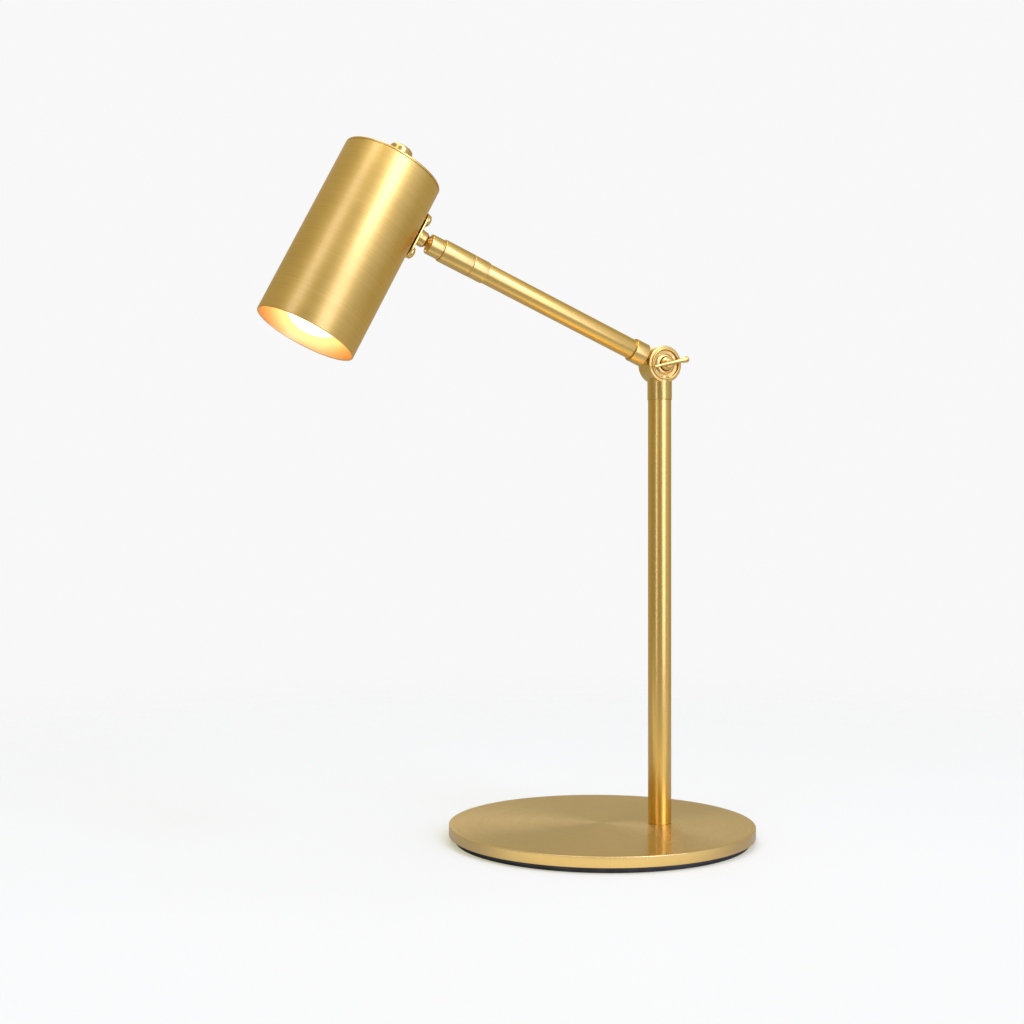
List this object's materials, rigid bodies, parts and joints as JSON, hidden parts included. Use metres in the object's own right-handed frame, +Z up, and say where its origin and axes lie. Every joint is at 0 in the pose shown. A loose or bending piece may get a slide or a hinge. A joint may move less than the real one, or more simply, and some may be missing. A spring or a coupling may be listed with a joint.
{
  "type": "desk lamp",
  "caption": "Swing arm desk lamp with a round weighted base, an off-centre post, a clamped elbow knuckle, a straight arm and a cylindrical shade on a ball joint.",
  "frame": {"origin": "middle of the underside of the base, on the surface the lamp stands on", "axes": "+Z up along the post, +X from the middle of the base towards the post, +Y towards the back, where the cord gland is"},
  "size_m": [0.2845, 0.2121, 0.4023],
  "materials": {
    "brushed_brass": "satin, brushed and lacquered",
    "turned_brass": "satin, turned, on knuckle, bracket and switch",
    "cast_iron_black": "matt black lacquer",
    "foot_rubber": "matt",
    "zinc_steel": "zinc plated",
    "phenolic_black": "moulded, semi gloss",
    "nylon_white": "moulded",
    "lead_sheath": "smooth insulation",
    "opal_glass": "opal, lit from inside",
    "nickel": "nickel plated"
  },
  "bodies": {
    "base": {"base_cover": "brushed_brass", "base_weight": "cast_iron_black", "base_pad": "foot_rubber", "cord_gland": "foot_rubber", "post_nipple": "zinc_steel", "nipple_washer": "zinc_steel", "nipple_nut": "zinc_steel", "post_tube": "brushed_brass", "post_foot_bush": "turned_brass", "post_top_bush": "turned_brass", "swivel_stop_pin": "zinc_steel", "post_lead": "lead_sheath"},
    "knuckle": {"knuckle_housing": "turned_brass", "knuckle_back_plate": "turned_brass", "friction_washer_front": "nylon_white", "friction_washer_rear": "nylon_white", "clamp_washer": "turned_brass", "swivel_washer": "zinc_steel", "swivel_nut": "zinc_steel"},
    "wing": {"wing_screw": "turned_brass", "wing_bar": "turned_brass"},
    "arm": {"elbow_tongue": "turned_brass", "arm_tube": "brushed_brass", "arm_ferrule": "turned_brass", "sleeve_washer": "zinc_steel", "sleeve_nut": "zinc_steel", "arm_lead": "lead_sheath"},
    "sleeve": {"swivel_sleeve": "turned_brass", "socket_nose": "turned_brass", "ball_seat": "nylon_white", "preload_plug": "turned_brass", "seat_spring": "zinc_steel"},
    "ball": {"ball_stud": "turned_brass", "stud_washer": "zinc_steel", "stud_nut": "zinc_steel"},
    "head": {"bracket_plate": "turned_brass", "bracket_boss": "turned_brass", "bracket_screw_upper": "turned_brass", "bracket_screw_lower": "turned_brass", "bracket_nut_upper": "zinc_steel", "bracket_nut_lower": "zinc_steel", "shade_tube": "brushed_brass", "shade_cap": "brushed_brass", "holder_nipple": "zinc_steel", "holder_nut": "turned_brass", "lampholder_body": "phenolic_black", "lampholder_shell": "nickel", "centre_contact": "nickel", "bulb_glass": "opal_glass", "bulb_cap": "nickel", "bulb_contact": "nickel", "head_lead": "lead_sheath"},
    "switch": {"switch_knob": "turned_brass", "switch_spindle": "nickel", "knob_grub_screw": "zinc_steel"}
  },
  "joints": [
    {"name": "post_swivel", "type": "hinge", "parent": "base", "child": "knuckle", "pos_m": [0.035, 0, 0.2645], "axis": [0, 0, 1], "range_deg": [-150, 150]},
    {"name": "wing_turn", "type": "hinge", "parent": "knuckle", "child": "wing", "pos_m": [0.035, 0, 0.2856], "axis": [0.4067, -0.9135, 0], "range_deg": [0, 360]},
    {"name": "elbow_tilt", "type": "hinge", "parent": "knuckle", "child": "arm", "pos_m": [0.035, 0, 0.2856], "axis": [-0.4067, 0.9135, 0], "range_deg": [-7, 141]},
    {"name": "sleeve_roll", "type": "hinge", "parent": "arm", "child": "sleeve", "pos_m": [-0.0857, -0.05576, 0.34094], "axis": [-0.8434, -0.3755, 0.3843], "range_deg": [-170, 170]},
    {"name": "head_tilt", "type": "hinge", "parent": "sleeve", "child": "ball", "pos_m": [-0.09852, -0.06147, 0.34678], "axis": [-0.4067, 0.9135, 0], "range_deg": [-27, 16.5]},
    {"name": "shade_spin", "type": "hinge", "parent": "ball", "child": "head", "pos_m": [-0.09852, -0.06147, 0.34678], "axis": [-0.8074, -0.3595, 0.4679], "range_deg": [-170, 170]},
    {"name": "switch_turn", "type": "hinge", "parent": "head", "child": "switch", "pos_m": [-0.11871, -0.07046, 0.39243], "axis": [0.4275, 0.1903, 0.8838], "continuous": true}
  ]
}
